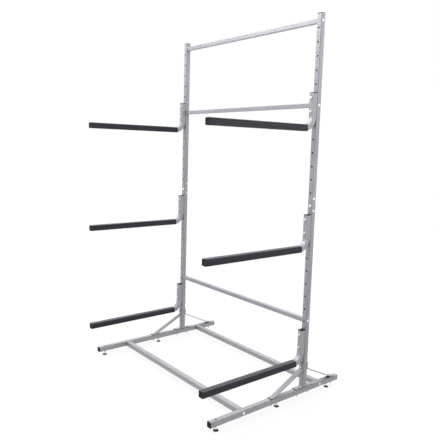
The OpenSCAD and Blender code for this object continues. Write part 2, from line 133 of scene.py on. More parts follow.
def place_camera():
    """The lens looks along minus `back`; right and up are then turned about it by the roll."""
    azimuth, elevation, roll = (math.radians(a) for a in (CAMERA_AZIMUTH, CAMERA_ELEVATION, CAMERA_ROLL))
    flat = math.cos(elevation)
    back = Vector((math.sin(azimuth) * flat, -math.cos(azimuth) * flat, math.sin(elevation)))
    level = Vector((math.cos(azimuth), math.sin(azimuth), 0.0))
    upward = back.cross(level)
    right = math.cos(roll) * level + math.sin(roll) * upward
    up = math.cos(roll) * upward - math.sin(roll) * level
    data = bpy.data.cameras.new("photo_camera")
    data.sensor_width = SENSOR
    data.lens = FOCAL_PIXELS / PHOTO_SIDE * SENSOR
    data.shift_x = (PHOTO_SIDE / 2 - MIDDLE_PIXEL[0]) / PHOTO_SIDE
    data.shift_y = (MIDDLE_PIXEL[1] - PHOTO_SIDE / 2) / PHOTO_SIDE
    data.clip_start = 0.05
    data.clip_end = 60.0
    camera = bpy.data.objects.new("photo_camera", data)
    turn = Matrix((right, up, back)).transposed().to_4x4()
    camera.matrix_world = Matrix.Translation(CAMERA_PLACE) @ turn
    scene.collection.objects.link(camera)
    scene.camera = camera


# ---------------------------------------------------------------- node trees
class Sketch:
    """Adds nodes to one tree; an input is given as a socket to join or as a value."""

    def __init__(self, tree):
        self.tree = tree
        tree.nodes.clear()

    def add(self, kind, inputs=None, **settings):
        node = self.tree.nodes.new(kind)
        for name, value in settings.items():
            setattr(node, name, value)
        for name, value in (inputs or {}).items():
            self.feed(node.inputs[name], value)
        return node

    def feed(self, socket, value):
        if isinstance(value, bpy.types.NodeSocket):
            self.tree.links.new(value, socket)
        elif socket.type == "RGBA":
            socket.default_value = (*value[:3], 1.0)
        else:
            socket.default_value = value

    def math(self, operation, first, second=0.5, clamp=False):
        node = self.add("ShaderNodeMath", {0: first, 1: second}, operation=operation, use_clamp=clamp)
        return node.outputs[0]

    def between(self, value, low, high):
        """Stretches a value from 0..1 to low..high."""
        node = self.add("ShaderNodeMapRange", {"Value": value, "To Min": low, "To Max": high})
        return node.outputs["Result"]

    def step(self, value, start, end):
        """Rises smoothly from 0 at start to 1 at end."""
        reach = {"Value": value, "From Min": start, "From Max": end}
        return self.add("ShaderNodeMapRange", reach, interpolation_type="SMOOTHSTEP").outputs["Result"]

    def mix_values(self, share, first, second):
        """Slides from the first value to the second as the share rises."""
        return self.add("ShaderNodeMix", {0: share, 2: first, 3: second}, data_type="FLOAT").outputs[0]

    def blend(self, share, first, second, how="MIX"):
        node = self.add("ShaderNodeMix", data_type="RGBA", blend_type=how)
        self.feed(node.inputs[0], share)
        self.feed(node.inputs[6], first)
        self.feed(node.inputs[7], second)
        return node.outputs[2]

    def cover(self, mask, share, below, above):
        """Lays one colour over another where a mask says, at no more than the given share."""
        return self.blend(self.math("MULTIPLY", mask, share), below, above)

    def place(self):
        return self.add("ShaderNodeTexCoord").outputs["Object"]

    def stretched(self, scale):
        """Object coordinates, multiplied along each axis."""
        return self.add("ShaderNodeMapping", {"Vector": self.place(), "Scale": scale}).outputs["Vector"]

    def noise(self, vector, scale, detail=3.0, **more):
        settings = {"Vector": vector, "Scale": scale, "Detail": detail, **more}
        return self.add("ShaderNodeTexNoise", settings).outputs[0]

    def facing(self):
        """The true normal's share along each axis."""
        normal = self.add("ShaderNodeNewGeometry").outputs["Normal"]
        return self.add("ShaderNodeSeparateXYZ", {0: normal}).outputs

    def feed_named(self, inputs, **values):
        """Feeds inputs by keyword, with an underscore for each space in an input's name."""
        for name, value in values.items():
            self.feed(inputs[name.replace("_", " ")], value)

    def use(self, group, **inputs):
        node = self.add("ShaderNodeGroup", node_tree=group)
        self.feed_named(node.inputs, **inputs)
        return node.outputs


def new_group(name, inputs, outputs):
    """An empty effect with named inputs, each with its usual value, and named outputs."""
    tree = bpy.data.node_groups.new(name, "ShaderNodeTree")
    for label, usual in inputs.items():
        socket = tree.interface.new_socket(label, in_out="INPUT", socket_type="NodeSocketFloat")
        socket.default_value = usual
    for label in outputs:
        tree.interface.new_socket(label, in_out="OUTPUT", socket_type="NodeSocketFloat")
    sketch = Sketch(tree)
    given = sketch.add("NodeGroupInput").outputs
    result = sketch.add("NodeGroupOutput").inputs
    return sketch, given, result


def edge_effect():
    """How near a surface is to an outer edge: the rounded normal leans away from the flat one there.

    A coarse noise breaks the line up, so that edges are rubbed, and lit as a painted highlight, in places and not all
    along.
    """
    sketch, given, result = new_group("edge_wear_and_highlight", {"Width": 0.8 * MM, "Breakup": 60.0}, ["Mask"])
    rounded = sketch.add("ShaderNodeBevel", {"Radius": given["Width"]}, samples=4).outputs[0]
    flat = sketch.add("ShaderNodeNewGeometry").outputs["Normal"]
    same = sketch.add("ShaderNodeVectorMath", {0: rounded, 1: flat}, operation="DOT_PRODUCT").outputs["Value"]
    lean = sketch.step(sketch.math("SUBTRACT", 1.0, same), 0.01, 0.14)
    patches = sketch.noise(sketch.place(), given["Breakup"])
    sketch.feed(result["Mask"], sketch.math("MULTIPLY", lean, sketch.step(patches, 0.38, 0.62)))
    return sketch.tree


def peel_effect():
    """The skin of a sprayed coat: soft dimples with a broader ripple under them, a slow drift in
    tone, and flakes, which are a chance value for each small cell of space."""
    sketch, given, result = new_group(
        "coat_skin", {"Dimples": 900.0, "Drift": 5.0}, ["Height", "Tone", "Speckle"]
    )
    place = sketch.place()
    dimples = sketch.add("ShaderNodeTexVoronoi", {"Vector": place, "Scale": given["Dimples"]}, feature="SMOOTH_F1")
    ripple = sketch.noise(place, sketch.math("MULTIPLY", given["Dimples"], 0.45), 2.0)
    sketch.feed(result["Height"], sketch.math("ADD", dimples.outputs["Distance"], ripple))
    sketch.feed(result["Tone"], sketch.step(sketch.noise(place, given["Drift"], 4.0), 0.3, 0.7))
    cells = sketch.add("ShaderNodeVectorMath", {0: place, 1: (FLAKE, FLAKE, FLAKE)}, operation="SNAP")
    flakes = sketch.add("ShaderNodeTexWhiteNoise", {"Vector": cells.outputs["Vector"]})
    sketch.feed(result["Speckle"], flakes.outputs["Value"])
    return sketch.tree


def scuff_effect():
    """Fine scratches: bands of a noise that is pulled out along each of two slanted directions."""
    sketch, given, result = new_group("fine_scuffs", {"Scale": 160.0, "Amount": 0.5}, ["Mask"])
    marks = []
    for turn, pull in ((0.5, (1.0, 0.05, 0.3)), (-0.8, (0.06, 1.0, 0.4))):
        slant = {"Vector": sketch.place(), "Rotation": (turn, turn / 2, turn), "Scale": pull}
        turned = sketch.add("ShaderNodeMapping", slant).outputs["Vector"]
        marks.append(sketch.step(sketch.noise(turned, given["Scale"], 6.0), 0.62, 0.7))
    both = sketch.math("MAXIMUM", *marks)
    sketch.feed(result["Mask"], sketch.math("MULTIPLY", both, given["Amount"]))
    return sketch.tree


def grain_effect():
    """A fine even roughness such as a spark-eroded mould, cast rubber or foam skin leaves."""
    sketch, given, result = new_group("fine_grain", {"Scale": 1500.0, "Patches": 25.0}, ["Height", "Patchiness"])
    place = sketch.place()
    sketch.feed(result["Height"], sketch.noise(place, given["Scale"]))
    sketch.feed(result["Patchiness"], sketch.step(sketch.noise(place, given["Patches"]), 0.3, 0.7))
    return sketch.tree


def inside_effect():
    """Where a surface lies inside an upright or a base tube, behind its outer skin.

    The larger of two distances from the tube's axis is compared with a reach: one distance is
    across the rack, the other from front to back for an upright or in height for a base tube.
    """
    sketch, given, result = new_group("tube_inside", {"Lying": 0.0, "Middle": 0.0, "Reach": 15.3 * MM}, ["Mask"])
    x, y, z = sketch.add("ShaderNodeSeparateXYZ", {0: sketch.place()}).outputs
    across = sketch.math("ABSOLUTE", sketch.math("SUBTRACT", sketch.math("ABSOLUTE", x), SIDE_X))
    other = sketch.mix_values(given["Lying"], y, z)
    deep = sketch.math("ABSOLUTE", sketch.math("SUBTRACT", other, given["Middle"]))
    sketch.feed(result["Mask"], sketch.math("LESS_THAN", sketch.math("MAXIMUM", across, deep), given["Reach"]))
    return sketch.tree


def corner_shade_effect():
    """Painted shade where pieces meet: how much of the near surroundings other surfaces close off."""
    sketch, given, result = new_group("corner_shade", {"Reach": 12.0 * MM, "Breakup": 120.0}, ["Mask"])
    closed = sketch.add("ShaderNodeAmbientOcclusion", {"Distance": given["Reach"]}, samples=8).outputs["AO"]
    patches = sketch.noise(sketch.place(), given["Breakup"])
    lean = sketch.step(sketch.math("SUBTRACT", 1.0, closed), 0.12, 0.62)
    sketch.feed(result["Mask"], sketch.math("MULTIPLY", lean, sketch.between(patches, 0.7, 1.0)))
    return sketch.tree


def dust_and_top_light_effect():
    """Dust that has settled on the surfaces that face up, with painted light there too; thinner where a noise has
    swept it away.
    """
    sketch, given, result = new_group("dust_and_top_light", {"Breakup": 35.0, "From": 0.25}, ["Mask"])
    patches = sketch.noise(sketch.place(), given["Breakup"], 4.0)
    lying = sketch.step(sketch.facing()["Z"], given["From"], 0.95)
    sketch.feed(result["Mask"], sketch.math("MULTIPLY", lying, sketch.between(patches, 0.6, 1.0)))
    return sketch.tree


def plate_side_shade_effect():
    """Painted shade on the sides of a plate that lies on the base: upright surfaces between its two heights."""
    sketch, given, result = new_group("plate_side_shade", {"Low": BASE_TOP - 0.2 * MM, "Thickness": 4.5 * MM}, ["Mask"])
    height = sketch.add("ShaderNodeSeparateXYZ", {0: sketch.place()}).outputs["Z"]
    above = sketch.math("SUBTRACT", height, given["Low"])
    over_low = sketch.math("GREATER_THAN", above, 0.0)
    within = sketch.math("MULTIPLY", over_low, sketch.math("LESS_THAN", above, given["Thickness"]))
    upright = sketch.math("LESS_THAN", sketch.math("ABSOLUTE", sketch.facing()["Z"]), 0.5)
    sketch.feed(result["Mask"], sketch.math("MULTIPLY", within, upright))
    return sketch.tree


edge_wear_and_highlight = edge_effect()
plate_side_shade = plate_side_shade_effect()
corner_shade = corner_shade_effect()
dust_and_top_light = dust_and_top_light_effect()
tube_inside = inside_effect()
coat_skin = peel_effect()
fine_scuffs = scuff_effect()
fine_grain = grain_effect()


def new_finish(name, **plain):
    """A material with its shader; the keyword values are the same all over the surface."""
    material = bpy.data.materials.new(name)
    material.use_nodes = True
    sketch = Sketch(material.node_tree)
    shader = sketch.add("ShaderNodeBsdfPrincipled")
    sketch.feed_named(shader.inputs, **plain)
    sketch.add("ShaderNodeOutputMaterial", {"Surface": shader.outputs[0]})
    return material, sketch, shader.inputs


def bump(sketch, height, depth):
    return sketch.add("ShaderNodeBump", {"Height": height, "Distance": depth}).outputs["Normal"]


def silver_coat(name, tone, metal=0.18, rough=0.42, dust_light_share=0.35, shade_plate_sides=False, hollow=None):
    """Silver-grey sprayed coat: fine flakes, orange-peel skin, tone drift, rubbed edges with a painted highlight,
    painted shade where pieces meet, and dust with painted light on top.

    With the plate flag, the upright sides of the plates on the base are painted dark as shade. With `hollow`, the
    inputs of tube_inside, the insides of the tubes stay uncoated dark steel, darkened further as painted shade.
    """
    clear = 0.4
    finish, sketch, inputs = new_finish(name, Coat_Weight=clear, Coat_Roughness=0.18, IOR=1.5)
    skin = sketch.use(coat_skin)
    dark, light, bare_and_highlit = ([share * c for c in tone] for share in (0.93, 1.05, 1.25))
    colour = sketch.blend(skin["Tone"], dark, light)
    flakes = sketch.between(skin["Speckle"], 0.94, 1.06)
    colour = sketch.blend(1.0, colour, flakes, "MULTIPLY")
    # rubbed edges, partly wear and partly a painted highlight along the rounded corners
    colour = sketch.cover(sketch.use(edge_wear_and_highlight, Width=1.0 * MM)["Mask"], 0.5, colour, bare_and_highlit)
    # dust on the upward faces, partly painted light falling from above
    colour = sketch.cover(sketch.use(dust_and_top_light)["Mask"], dust_light_share, colour, (0.62, 0.62, 0.64))
    # painted shade in the corners where pieces meet
    colour = sketch.cover(sketch.use(corner_shade)["Mask"], 0.95, colour, (0.02, 0.02, 0.022))
    if shade_plate_sides:
        # painted shade on the upright sides of the plates
        colour = sketch.cover(sketch.use(plate_side_shade)["Mask"], 0.85, colour, (0.03, 0.03, 0.032))
    scuffs = sketch.use(fine_scuffs, Amount=0.35)["Mask"]
    uneven = sketch.between(skin["Tone"], rough - 0.05, rough + 0.05)
    rough_now = sketch.math("ADD", uneven, sketch.math("MULTIPLY", scuffs, 0.12))
    if hollow:
        inside = sketch.use(tube_inside, **hollow)["Mask"]
        # uncoated dark steel inside the tubes, pushed darker as painted shade in the holes
        colour = sketch.blend(inside, colour, (0.012, 0.012, 0.012))
        rough_now = sketch.mix_values(inside, rough_now, 0.75)
        sketch.feed(inputs["Coat Weight"], sketch.between(inside, clear, 0.0))
    sketch.feed_named(
        inputs, Base_Color=colour, Roughness=rough_now,
        Metallic=sketch.between(skin["Speckle"], metal - 0.08, metal + 0.08),
        Normal=bump(sketch, skin["Height"], 0.05 * MM)
    )
    return finish


def zinc_plate():
    """Bright zinc with a faint blue and straw play of colour."""
    finish, sketch, inputs = new_finish("bright_zinc")
    skin = sketch.use(coat_skin, Dimples=2200.0, Drift=90.0)
    colour = sketch.blend(skin["Tone"], (0.66, 0.68, 0.73), (0.80, 0.79, 0.75))
    worn = sketch.use(edge_wear_and_highlight, Width=0.5 * MM)["Mask"]
    scuffs = sketch.use(fine_scuffs, Scale=420.0, Amount=0.6)["Mask"]
    sketch.feed_named(
        inputs, Base_Color=sketch.blend(worn, colour, (0.86, 0.86, 0.86)),
        Roughness=sketch.between(scuffs, 0.27, 0.45), Metallic=sketch.between(skin["Tone"], 0.82, 0.95),
        Normal=bump(sketch, skin["Height"], 0.02 * MM)
    )
    return finish


def raw_steel():
    """Drawn steel inside the tubes: darker, with an oily drift in tone."""
    finish, sketch, inputs = new_finish("raw_steel")
    skin = sketch.use(coat_skin, Dimples=1500.0, Drift=30.0)
    sketch.feed_named(
        inputs, Base_Color=sketch.blend(skin["Tone"], (0.014, 0.014, 0.015), (0.034, 0.033, 0.031)),
        Roughness=sketch.between(skin["Tone"], 0.5, 0.65), Metallic=sketch.between(skin["Tone"], 0.35, 0.5),
        Normal=bump(sketch, skin["Height"], 0.03 * MM)
    )
    return finish


def moulded_plastic():
    """Dark grey moulded plastic with a matt, spark-eroded skin and paler rubbed edges."""
    finish, sketch, inputs = new_finish("moulded_plastic", IOR=1.38, Specular_IOR_Level=0.35)
    grain = sketch.use(fine_grain, Scale=1700.0, Patches=45.0)
    colour = sketch.blend(grain["Patchiness"], (0.014, 0.014, 0.016), (0.024, 0.024, 0.027))
    rubbed = sketch.use(edge_wear_and_highlight, Width=0.7 * MM)["Mask"]
    sketch.feed_named(
        inputs, Base_Color=sketch.cover(rubbed, 0.5, colour, (0.06, 0.06, 0.065)),
        Roughness=sketch.between(grain["Patchiness"], 0.62, 0.75), Normal=bump(sketch, grain["Height"], 0.04 * MM)
    )
    return finish


def foam_skin():
    """Black-violet foam: fine drawn streaks and broad bands along the sleeve, closed pores, a dull sheen, and dust
    with a painted violet reflection on top."""
    finish, sketch, inputs = new_finish(
        "foam_skin", IOR=1.32, Sheen_Weight=0.05, Sheen_Roughness=0.4, Sheen_Tint=(0.75, 0.72, 0.85)
    )
    streaks = sketch.noise(sketch.stretched((330.0, 2.5, 330.0)), 1.0, 5.0, Roughness=0.6)
    bands = sketch.noise(sketch.stretched((85.0, 0.9, 85.0)), 1.0, 2.0)
    both = sketch.math("ADD", sketch.math("MULTIPLY", streaks, 0.45), sketch.math("MULTIPLY", bands, 0.55))
    drawn = sketch.step(both, 0.38, 0.62)
    grain = sketch.use(fine_grain, Scale=1300.0, Patches=18.0)
    colour = sketch.blend(drawn, (0.014, 0.013, 0.019), (0.039, 0.036, 0.051))
    colour = sketch.cover(grain["Patchiness"], 0.3, colour, (0.036, 0.033, 0.048))
    # dust on the upward faces, with a painted violet reflection of the sky
    colour = sketch.cover(sketch.use(dust_and_top_light, From=0.45)["Mask"], 0.8, colour, (0.120, 0.113, 0.145))
    pores = sketch.add("ShaderNodeTexVoronoi", {"Vector": sketch.stretched((900.0, 500.0, 900.0)), "Scale": 1.0})
    height = sketch.math("ADD", sketch.math("MULTIPLY", pores.outputs["Distance"], 0.35), drawn)
    height = sketch.math("ADD", height, sketch.math("MULTIPLY", grain["Height"], 0.5))
    sketch.feed_named(
        inputs, Base_Color=colour, Roughness=sketch.between(drawn, 0.36, 0.52), Normal=bump(sketch, height, 0.10 * MM)
    )
    return finish


def cast_rubber():
    """Near-black rubber with a bloom of dust."""
    finish, sketch, inputs = new_finish("cast_rubber", IOR=1.3, Specular_IOR_Level=0.15)
    grain = sketch.use(fine_grain, Scale=1100.0, Patches=70.0)
    colour = sketch.cover(grain["Patchiness"], 0.6, (0.004, 0.004, 0.004), (0.011, 0.011, 0.011))
    sketch.feed_named(
        inputs, Base_Color=colour, Roughness=sketch.between(grain["Patchiness"], 0.75, 0.88),
        Normal=bump(sketch, grain["Height"], 0.05 * MM)
    )
    return finish


finishes = {
    "upright_paint": silver_coat("upright_coat", (0.41, 0.41, 0.455), shade_plate_sides=True, hollow={"Middle": SET_BACK}),
    "base_paint": silver_coat("base_coat", (0.42, 0.42, 0.45), dust_light_share=0.4, hollow={"Middle": BASE_MID, "Lying": 1.0}),
    "crossbar_paint": silver_coat("crossbar_coat", (0.41, 0.41, 0.465), dust_light_share=0.1),
    "brace_paint": silver_coat("brace_coat", (0.34, 0.34, 0.372), dust_light_share=0.2, shade_plate_sides=True),
    "arm_paint": silver_coat("arm_coat", (0.42, 0.42, 0.455), metal=0.2, rough=0.38, dust_light_share=0.0),
    "cap_plastic": moulded_plastic(),
    "foam": foam_skin(),
    "pad_rubber": cast_rubber(),
    "zinc": zinc_plate(),
    "inner_steel": raw_steel(),
}

# ---------------------------------------------------------------- surfaces


def side_walk(corner_steps, side_steps):
    """A walk once round a square: where each point is based, which way is out, and how far it is
    from the corners.

    A point is (half - radius) * base + radius * out. Along a side the base slides from one corner
    to the next; round a corner it stays and the outward direction turns by a quarter.
    """
    base, out, middle = [], [], []
    for quarter in range(4):
        angle = quarter * math.pi / 2
        ahead = np.array([math.cos(angle), math.sin(angle)])
        across = np.array([-math.sin(angle), math.cos(angle)])
        slide = np.linspace(-1, 1, side_steps + 1)[:, None]
        base.append(ahead + across * slide)
        out.append(np.repeat(ahead[None], side_steps + 1, axis=0))
        middle.append(1 - slide[:, 0] ** 2)
        turn = np.linspace(0, math.pi / 2, corner_steps + 1)[1:-1, None]
        base.append(np.repeat((ahead + across)[None], corner_steps - 1, axis=0))
        out.append(np.cos(turn) * ahead + np.sin(turn) * across)
        middle.append(np.zeros(corner_steps - 1))
    return np.concatenate(base), np.concatenate(out), np.concatenate(middle)


def square_rings(profile, corner_steps=6, side_steps=1):
    """Rings round a square, one for each profile row of (half width, corner radius, height)."""
    base, out, _ = side_walk(corner_steps, side_steps)
    half, radius, height = np.asarray(profile, float).T[:, :, None]
    flat = (half - radius)[..., None] * base + radius[..., None] * out
    level = np.repeat(height, base.shape[0], axis=1)
    return np.dstack([flat, level])


def round_rings(profile, steps=ROUND_STEPS):
    """Rings round an axis, one for each profile row of (radius, height)."""
    angle = np.linspace(0, 2 * math.pi, steps, endpoint=False)
    radius, height = np.asarray(profile, float).T[:, :, None]
    return np.dstack([radius * np.cos(angle), radius * np.sin(angle), height + 0 * angle])


def hexagon_rings(limit, height):
    """Rings of a hexagon of HEX_AF, whose corners each row's limiting radius trims."""
    angle = np.linspace(0, 2 * math.pi, ROUND_STEPS, endpoint=False)
    flats = HEX_AF / 2 / np.cos((angle + math.pi / 6) % (math.pi / 3) - math.pi / 6)
    radius = np.minimum(limit[:, None], flats)
    return np.dstack([radius * np.cos(angle), radius * np.sin(angle), height[:, None] + 0 * angle])


def thread_rings(start, end):
    """A screw thread: the radius falls and rises once for each pitch, and the pattern climbs one
    pitch a turn. It fades out over the last pitch at both ends."""
    rows_a_turn = 8
    rows = int(abs(end - start) / THREAD_PITCH * rows_a_turn) + 1
    height = np.linspace(start, end, rows)[:, None]
    angle = np.linspace(0, 2 * math.pi, ROUND_STEPS, endpoint=False)
    phase = (height / THREAD_PITCH - angle / (2 * math.pi)) % 1.0
    wave = np.abs(2 * phase - 1)
    near_end = np.minimum(np.abs(height - start), np.abs(height - end)) / THREAD_PITCH
    radius = BOLT_R - THREAD_DEPTH * (1 - wave) * np.clip(near_end, 0, 1)
    return np.dstack([radius * np.cos(angle), radius * np.sin(angle), height + 0 * angle])


def shell(rings, looped=False):
    """Joins rings into a closed skin. Looped ones end where they start; others close over their
    first and last ring with a fan. The skin is turned the right way by the sign of its volume."""
    rows, columns = rings.shape[:2]
    points = rings.reshape(-1, 3)
    number = np.arange(rows * columns).reshape(rows, columns)
    here = number if looped else number[:-1]
    above = np.roll(number, -1, axis=0) if looped else number[1:]
    quads = np.stack([here, np.roll(here, -1, axis=1), np.roll(above, -1, axis=1), above], axis=-1).reshape(-1, 4)
    triangles = np.zeros((0, 3), int)
    if not looped:
        count = len(points)
        points = np.concatenate([points, rings[0].mean(axis=0)[None], rings[-1].mean(axis=0)[None]])
        first, last = number[0], number[-1]
        low = np.stack([np.roll(first, -1), first, np.full(columns, count)], axis=-1)
        high = np.stack([last, np.roll(last, -1), np.full(columns, count + 1)], axis=-1)
        triangles = np.concatenate([low, high])
    every = np.concatenate([quads[:, [0, 1, 2]], quads[:, [0, 2, 3]], triangles])
    a, b, c = (points[every[:, k]] for k in range(3))
    if np.einsum("ij,ij->i", a, np.cross(b, c)).sum() < 0:
        quads, triangles = quads[:, ::-1], triangles[:, ::-1]
    return points, quads, triangles


def placed(skin, seat, axis, spin=0.0):
    """Stands a skin that was drawn along Z on its seat, along the given axis."""
    points, quads, triangles = skin
    axis = Vector(axis)
    turn = Vector((0, 0, 1)).rotation_difference(axis).to_matrix() @ Matrix.Rotation(spin, 3, "Z")
    return points @ np.array(turn).T + np.array(seat), quads, triangles


def make_piece(name, skins, slot, body="rack", instead_of=(), crease=35.0):
    """One object from many skins, with its finish, its body and the solids that it stands for."""
    points, loops, starts, offset, begin = [], [], [], 0, 0
    for skin_points, quads, triangles in skins:
        points.append(skin_points)
        for faces in (quads, triangles):
            if len(faces):
                loops.append((faces + offset).ravel())
                starts.append(begin + np.arange(len(faces)) * faces.shape[1])
                begin += faces.size
        offset += len(skin_points)
    points, loops, starts = (np.concatenate(part) for part in (points, loops, starts))
    mesh = bpy.data.meshes.new(name)
    mesh.vertices.add(len(points))
    mesh.vertices.foreach_set("co", points.astype(np.float32).ravel())
    mesh.loops.add(len(loops))
    mesh.loops.foreach_set("vertex_index", loops.astype(np.int32))
    mesh.polygons.add(len(starts))
    mesh.polygons.foreach_set("loop_start", starts.astype(np.int32))
    mesh.update(calc_edges=True)
    mesh.shade_smooth()
    mesh.set_sharp_from_angle(angle=math.radians(crease))
    mesh.materials.append(finishes[slot])
    piece = bpy.data.objects.new(name, mesh)
    scene.collection.objects.link(piece)
    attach(piece, body)
    if instead_of:
        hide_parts(*instead_of)
    return piece


def quarter(middle, radius, start, end, steps=5):
    """Profile points on an arc: its middle, its radius and the angles, in degrees, where it runs."""
    angle = np.radians(np.linspace(start, end, steps))
    return [(middle[0] + radius * c, middle[1] + radius * s) for c, s in zip(np.cos(angle), np.sin(angle))]


# ---------------------------------------------------------------- fasteners, seat at Z = 0


def hexagon_rows(low, high, chamfer_low=True):
    """Heights and limiting radii of a hexagon block: a cone at 30 degrees trims the corners at the
    top, and at the bottom too where that has a chamfer."""
    reach = 0.9 * MM
    height = np.concatenate([low + np.linspace(0, reach, 5), high - np.linspace(reach, 0, 5)])
    from_low = height - low if chamfer_low else np.full(10, reach * 2)
    return height, HEX_CROWN_R + np.minimum(from_low, high - height) * math.tan(math.radians(60))


def bolt_end(length, threaded):
    """The shank below the seat: plain, then threaded, then a cone at the tip."""
    cone, step = 0.9 * MM, 0.05 * MM
    plain = round_rings([(BOLT_R, 0), (BOLT_R, threaded - length)])
    thread = thread_rings(threaded - length, cone - length)
    tip = round_rings([(BOLT_R - step, cone - step - length), (BOLT_R - cone, -length)])
    return np.concatenate([plain, thread[1:], tip])


def hexagon_bolt(length, threaded=22 * MM):
    """Hexagon head on a thin round seat, with its corners trimmed and a shallow dish on top."""
    seat = 0.4 * MM
    height, limit = hexagon_rows(seat, HEX_H, chamfer_low=False)
    crown = round_rings([(0.55 * HEX_CROWN_R, HEX_H - 0.25 * MM), (0.7 * HEX_CROWN_R, HEX_H)])
    head = hexagon_rings(limit, height)[::-1]
    foot = round_rings([(HEX_CROWN_R, seat), (HEX_CROWN_R, 0)])
    return shell(np.concatenate([crown, head, foot, bolt_end(length, threaded)]))


def domed_bolt(length, threaded=16 * MM):
    """A slice of a ball on a short upright rim."""
    rim = 0.5 * MM
    rise = DOME_H - rim
    ball = (DOME_R ** 2 + rise ** 2) / (2 * rise)
    radius = np.linspace(0.06, 1, 14) * DOME_R
    height = rim + np.sqrt(ball ** 2 - radius ** 2) - (ball - rise)
    dome = round_rings(np.stack([radius, height], axis=1))
    foot = round_rings([(DOME_R, 0.15 * MM), (DOME_R - 0.15 * MM, 0)])
    return shell(np.concatenate([dome, foot, bolt_end(length, threaded)]))


def hexagon_nut():
    """A hexagon block with both ends trimmed and a countersunk bore; its rows run in a loop."""
    height, limit = hexagon_rows(0.0, NUT_H)
    sink = 0.6 * MM
    bore = [(BORE_R + sink, NUT_H), (BORE_R, NUT_H - sink), (BORE_R, sink), (BORE_R + sink, 0)]
    return shell(np.concatenate([hexagon_rings(limit, height), round_rings(bore)]), looped=True)


def flat_washer():
    """A stamped ring: rolled over at the upper edge, square at the lower one."""
    edge = quarter((WASHER_R - 0.4 * MM, WASHER_T - 0.4 * MM), 0.4 * MM, 0, 90)
    hole = 4.25 * MM
    profile = [(WASHER_R, 0.0)] + edge + [(hole + 0.15 * MM, WASHER_T), (hole, WASHER_T - 0.15 * MM), (hole, 0.0)]
    return shell(round_rings(profile), looped=True)


def along(skin, places, axis, spin=0.0):
    return [placed(skin, place, axis, spin) for place in places]


def arm_bolt_places(y):
    return [(x, y, z + rise) for x in SIDES.values() for z in ARM_LOW_BOLTS.values() for rise in (0, PITCH)]


def fit_arm_fasteners():
    front = LEG_Y - FACE
    back = SET_BACK + FACE
    shank = 2 * TUBE + 2 * WASHER_T + NUT_H + TIP
    bolts = along(hexagon_bolt(shank), arm_bolt_places(front - WASHER_T), (0, -1, 0), spin=0.3)
    make_piece("arm_hexagon_bolts", bolts, "zinc", instead_of=["arm_bolts"])
    ring = flat_washer()
    washers = along(ring, arm_bolt_places(front), (0, -1, 0)) + along(ring, arm_bolt_places(back), (0, 1, 0))
    make_piece("arm_flat_washers", washers, "zinc", instead_of=["arm_washers"])
    nuts = along(hexagon_nut(), arm_bolt_places(back + WASHER_T), (0, 1, 0), spin=0.9)
    make_piece("arm_hexagon_nuts", nuts, "zinc", instead_of=["arm_nuts"])


def side_sign(x):
    return 1 if x > 0 else -1


def fit_splice_fasteners():
    bolt = domed_bolt(TUBE + NUT_H + TIP)
    nut = hexagon_nut()
    bolts, nuts = [], []
    for x in SIDES.values():
        out = side_sign(x)
        for z in SPLICE_BOLTS:
            bolts.append(placed(bolt, (x + out * FACE, SET_BACK, z), (out, 0, 0)))
            nuts.append(placed(nut, (x - out * FACE, SET_BACK, z), (-out, 0, 0), spin=0.4))
        bolts.append(placed(bolt, (x, SET_BACK - FACE, SEAM_HOLE), (0, -1, 0)))
        nuts.append(placed(nut, (x, SET_BACK + FACE, SEAM_HOLE), (0, 1, 0), spin=0.7))
    make_piece("splice_domed_bolts", bolts, "zinc", instead_of=["splice_bolts"])
    make_piece("splice_hexagon_nuts", nuts, "zinc", instead_of=["splice_nuts"])


def fit_cross_bolts():
    bolt = domed_bolt(TUBE + 18 * MM)
    bars, tubes = [], []
    for x in SIDES.values():
        out = side_sign(x)
        bars += [placed(bolt, (x + out * FACE, SET_BACK, z), (out, 0, 0)) for z in CROSSBARS]
        tubes += [placed(bolt, (x + out * FACE, y, BASE_MID), (out, 0, 0)) for y in CROSS_TUBES]
    make_piece("crossbar_domed_bolts", bars, "zinc", instead_of=["crossbar_bolts"])
    make_piece("base_cross_domed_bolts", tubes, "zinc", instead_of=["base_cross_bolts"])


def fit_brace_and_plate_fasteners():
    through = hexagon_bolt(TUBE + 2 * BRACE_T + NUT_H + TIP)
    down = hexagon_bolt(BRACE_T + TUBE + NUT_H + BASE_TIP)
    plate_down = hexagon_bolt(PLATE_T + TUBE + NUT_H + BASE_TIP)
    nut = hexagon_nut()
    bolts, nuts, plate_bolts, plate_nuts = [], [], [], []
    for x in SIDES.values():
        bolts.append(placed(through, (x, SET_BACK - FACE - BRACE_T, BRACE_BOLT_Z), (0, -1, 0), spin=0.2))
        nuts.append(placed(nut, (x, SET_BACK + FACE + BRACE_T, BRACE_BOLT_Z), (0, 1, 0), spin=0.5))
        for end in (-1, 1):
            y = SET_BACK + end * BRACE_FOOT
            bolts.append(placed(down, (x, y, BASE_TOP + BRACE_T), (0, 0, 1), spin=0.25))
            nuts.append(placed(nut, (x, y, BASE_LOW), (0, 0, -1), spin=0.8))
            y = SET_BACK + end * PLATE_BOLT
            plate_bolts.append(placed(plate_down, (x, y, BASE_TOP + PLATE_T), (0, 0, 1), spin=0.6))
            plate_nuts.append(placed(nut, (x, y, BASE_LOW), (0, 0, -1), spin=0.1))
    make_piece("brace_hexagon_bolts", bolts, "zinc", instead_of=["brace_bolts"])
    make_piece("brace_hexagon_nuts", nuts, "zinc", instead_of=["brace_nuts"])
    make_piece("plate_hexagon_bolts", plate_bolts, "zinc", instead_of=["plate_bolts"])
    make_piece("plate_hexagon_nuts", plate_nuts, "zinc", instead_of=["plate_nuts"])


# ---------------------------------------------------------------- caps, tube's end at Z = 0


